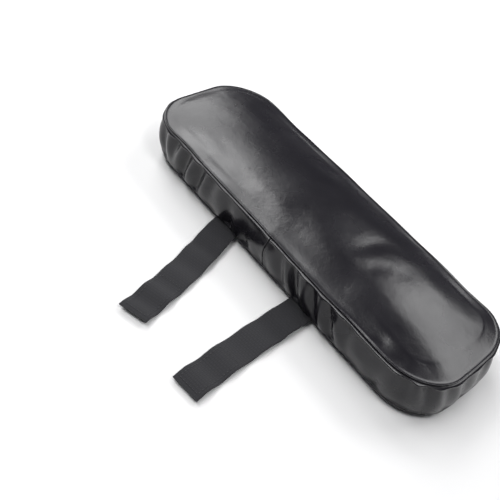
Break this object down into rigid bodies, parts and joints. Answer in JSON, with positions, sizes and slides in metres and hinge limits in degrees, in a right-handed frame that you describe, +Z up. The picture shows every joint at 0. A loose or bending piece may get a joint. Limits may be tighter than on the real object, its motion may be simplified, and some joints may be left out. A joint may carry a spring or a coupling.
{
  "type": "chair armrest pad",
  "caption": "Long rounded strap-on armrest cushion: foam core in a boxed leather-look cover with a zipped fabric base and hook-and-loop webbing straps.",
  "frame": {"origin": "centre of the underside, on the face that rests on the armrest", "axes": "+X along the pad's length, +Z up through its thickness, -Y towards the side with the long straps"},
  "size_m": [0.252, 0.1988, 0.036],
  "materials": {
    "cover": "smooth, semi-gloss",
    "base_fabric": "matte weave",
    "foam": "open-cell foam",
    "thread": "twisted thread",
    "webbing": "matte webbing",
    "hook_and_loop": "napped",
    "zip_tape": "woven tape",
    "zip_coil": "moulded coil",
    "zip_metal": "black lacquer"
  },
  "bodies": {
    "pad": {"foam_core": "foam", "top_panel": "cover", "boxing_left": "cover", "boxing_right": "cover", "base_panel_front": "base_fabric", "base_panel_rear": "base_fabric", "top_seam_thread": "thread", "base_seam_thread": "thread", "front_join_thread": "thread", "rear_join_thread": "thread", "zip_tape_front": "zip_tape", "zip_tape_rear": "zip_tape", "zip_coil_front": "zip_coil", "zip_coil_rear": "zip_coil", "zip_top_stop": "zip_metal", "zip_bottom_stop": "zip_metal", "strap_root_left": "webbing", "tab_root_left": "webbing", "strap_root_right": "webbing", "tab_root_right": "webbing"},
    "strap_side_left": {"strap_side_left": "webbing"},
    "strap_end_left": {"strap_end_left": "webbing", "loop_patch_left": "hook_and_loop", "patch_thread_left": "thread"},
    "hook_tab_left": {"hook_tab_left": "webbing", "hook_patch_left": "hook_and_loop", "hook_thread_left": "thread"},
    "strap_side_right": {"strap_side_right": "webbing"},
    "strap_end_right": {"strap_end_right": "webbing", "loop_patch_right": "hook_and_loop", "patch_thread_right": "thread"},
    "hook_tab_right": {"hook_tab_right": "webbing", "hook_patch_right": "hook_and_loop", "hook_thread_right": "thread"},
    "zip_slider": {"zip_slider": "zip_metal"},
    "zip_pull": {"zip_pull": "zip_metal"}
  },
  "joints": [
    {"name": "strap_left_seam_fold", "type": "hinge", "parent": "pad", "child": "strap_side_left", "pos_m": [-0.03453, -0.04525, 0.00405], "axis": [0.9455, 0.3256, 0], "range_deg": [-20, 80]},
    {"name": "strap_left_under_fold", "type": "hinge", "parent": "strap_side_left", "child": "strap_end_left", "pos_m": [-0.02545, -0.07164, 0.0017], "axis": [0.9455, 0.3256, 0], "range_deg": [-20, 80]},
    {"name": "tab_left_seam_fold", "type": "hinge", "parent": "pad", "child": "hook_tab_left", "pos_m": [-0.036, 0.0426, 0.00405], "axis": [-1, 0, 0], "range_deg": [-20, 80]},
    {"name": "strap_right_seam_fold", "type": "hinge", "parent": "pad", "child": "strap_side_right", "pos_m": [0.03635, -0.04388, 0.00405], "axis": [0.9925, 0.1219, 0], "range_deg": [-20, 80]},
    {"name": "strap_right_under_fold", "type": "hinge", "parent": "strap_side_right", "child": "strap_end_right", "pos_m": [0.03975, -0.07157, 0.0017], "axis": [0.9925, 0.1219, 0], "range_deg": [-20, 80]},
    {"name": "tab_right_seam_fold", "type": "hinge", "parent": "pad", "child": "hook_tab_right", "pos_m": [0.036, 0.0426, 0.00405], "axis": [-1, 0, 0], "range_deg": [-20, 80]},
    {"name": "zip_slide", "type": "slide", "parent": "pad", "child": "zip_slider", "axis": [-1, 0, 0], "range_m": [0, 0.2]},
    {"name": "zip_pull_hinge", "type": "hinge", "parent": "zip_slider", "child": "zip_pull", "pos_m": [0.104, 0.016, 0.0009], "axis": [0, -1, 0], "range_deg": [0, 90]}
  ]
}
